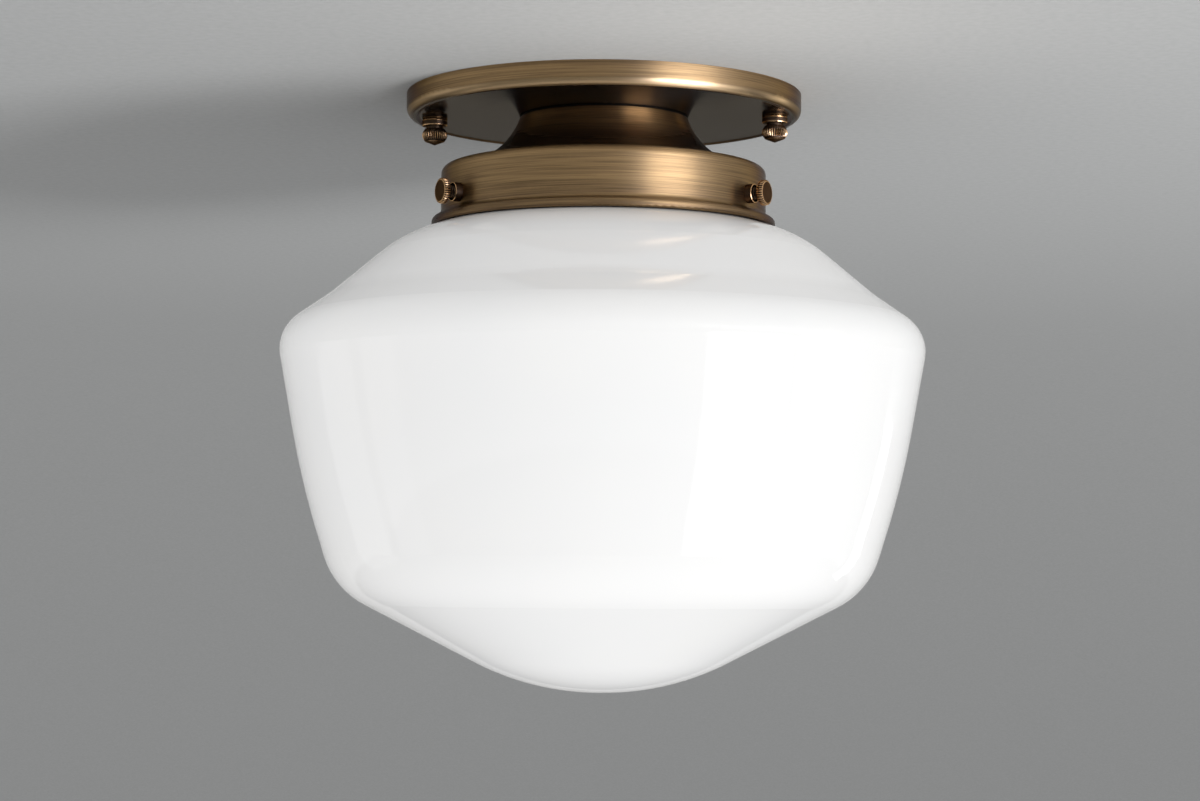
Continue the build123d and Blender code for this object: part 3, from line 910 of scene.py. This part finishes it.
def floor():
    lathe = Lathe(room_segments)
    lathe.plain(0, floor_level)
    lathe.plain(room_radius, floor_level)
    return add_stage("floor", lathe, room_finish("floor_paint", pale_paint, pale_in_mirrors), False)


def dome():
    """Half a sphere over the opening, which only mirrors can see."""
    lathe = Lathe(room_segments)
    for i in range(curve_rings):
        angle = dome_start + (math.pi / 2 - dome_start) * i / curve_rings
        lathe.plain(dome_radius * math.cos(angle), dome_radius * math.sin(angle))
    lathe.plain(0, dome_radius)
    cover = add_stage("dome", lathe, room_finish("dome_paint", pale_paint, pale_paint), True)
    cover.visible_camera = False
    cover.visible_diffuse = False
    cover.visible_shadow = False
    return cover


metal_only = bpy.data.collections.new("metal_only")
metals = (finishes["antique_brass"], finishes["bronze_hardware"])
for piece in bpy.context.scene.objects:
    if piece.type == "MESH" and piece.data.materials[0] in metals:
        metal_only.objects.link(piece)
stage_only = bpy.data.collections.new("stage_only")
stage_only.objects.link(room())
floor()
dome()

# %% [markdown]
# ## Soft light from windows
# The photograph is lit by daylight: a tall window to the right of the camera, a weaker one to the left
# and a narrow one behind on the right. Large area lamps stand in for them and give the glass its tall
# reflections. Two low lamps without a reflection of their own fill the front and the underside. Brushed
# metal needs a far brighter window than white glass does, so one lamp lights the brass and bronze
# alone, and two small ones put the photograph's bright patch on the ceiling and nothing else. The world
# adds an even pale light, a little stronger from below, and mirrors don't see it, because for them the
# room is there.

# %% Windows
view_turn = math.radians(5)
light_aim = Vector((0, 0, -0.09))
glint_colour = (0.96, 1.0, 1.22)


def window(name, bearing, height, distance, width, tall, brightness, mirrored=True):
    """An area lamp at a bearing from the camera's side, in degrees to the right, facing the light."""
    angle = view_turn + math.radians(bearing)
    lamp = bpy.data.lights.new(name, "AREA")
    lamp.shape = "RECTANGLE"
    lamp.size = width
    lamp.size_y = tall
    lamp.energy = brightness * math.pi * width * tall
    stand = bpy.data.objects.new(name, lamp)
    stand.location = (distance * math.sin(angle), -distance * math.cos(angle), height)
    stand.rotation_mode = "QUATERNION"
    stand.rotation_quaternion = (light_aim - stand.location).to_track_quat("-Z", "Y")
    stand.visible_camera = False
    stand.visible_glossy = mirrored
    bpy.context.scene.collection.objects.link(stand)
    print("lamp:", name, "at", [round(v, 2) for v in stand.location])
    return stand


# After its name, each lamp has its bearing, height, distance, width, own height and brightness.
window("window_right", 52, -0.55, 1.9, 1.1, 1.5, 1.55)
window("window_right_edge", 78, -0.5, 1.9, 0.5, 1.3, 1.3)
window("window_left_near", -84, -0.5, 2.0, 0.55, 1.3, 0.3)
window("window_left_far", -108, -0.5, 2.0, 0.75, 1.3, 0.35)
window("window_behind", 128, -0.6, 2.0, 0.25, 1.0, 3.0)
window("front_fill", 12, -0.6, 2.1, 2.6, 0.8, 0.56, mirrored=False)
window("floor_bounce", 0, -1.3, 0.4, 1.6, 1.6, 0.33, mirrored=False)
glint = window("window_glint", 48, -0.45, 1.85, 1.15, 2.2, 8.2)
glint.data.color = glint_colour
glint.light_linking.receiver_collection = metal_only
wash = window("ceiling_wash", 46, -0.8, 1.4, 0.6, 0.6, 34.0, mirrored=False)
wash.light_linking.receiver_collection = stage_only

# %% Warm glow on the ceiling
glow_place = (0.05, -0.12, -0.09)
glow_power = 0.2
glow_size = 0.03
glow_colour = (1.0, 0.9, 0.8)

glow = bpy.data.lights.new("ceiling_glow", "POINT")
glow.energy = glow_power
glow.color = glow_colour
glow.shadow_soft_size = glow_size
gleam = bpy.data.objects.new("ceiling_glow", glow)
gleam.location = glow_place
gleam.visible_camera = False
gleam.visible_glossy = False
gleam.light_linking.receiver_collection = stage_only
gleam.light_linking.blocker_collection = stage_only
bpy.context.scene.collection.objects.link(gleam)
print("lamp: ceiling_glow at", list(glow_place))

# %% The world
light_from_below = 0.91
light_from_above = 0.78
grade_reach = 0.5

sky = Finish("studio", "worlds", "Background")
upward = parts_of(sky, sky.node("ShaderNodeTexCoord", {}, {}, "Generated"))[2]
graded = sky.node(
    "ShaderNodeMapRange",
    {},
    {
        "Value": upward,
        "From Min": -grade_reach,
        "From Max": grade_reach,
        "To Min": light_from_below,
        "To Max": light_from_above,
    },
)
world = sky.surface({"Color": graded})
bpy.context.scene.world = world
world.cycles_visibility.glossy = False
bpy.context.scene.view_settings.view_transform = "Standard"

# %% [markdown]
# ## The camera
# The photograph is taken with a long lens from a little below the glass's middle, looking slightly up,
# and from five degrees round to the right, so that the right cap nut stands further from the rim than
# the left one.

# %% Camera
view_distance = 0.8556
view_height = -0.1545
view_pitch = math.radians(3.77)
view_slide = -0.0007
view_roll = math.radians(0.35)
sensor_width = 36.0
lens_length = 80.3
far_limit = 50.0

camera = bpy.data.cameras.new("camera")
camera.sensor_width = sensor_width
camera.lens = lens_length
camera.clip_end = far_limit
stand = bpy.data.objects.new("camera", camera)
bpy.context.scene.collection.objects.link(stand)
aim = Matrix.Rotation(view_turn, 4, "Z")
lift = Matrix.Rotation(math.pi / 2 + view_pitch, 4, "X")
tilt = Matrix.Rotation(view_roll, 4, "Z")
stand.matrix_world = aim @ Matrix.Translation((view_slide, -view_distance, view_height)) @ lift @ tilt
bpy.context.scene.camera = stand
print("camera at", [round(v, 3) for v in stand.matrix_world.translation])
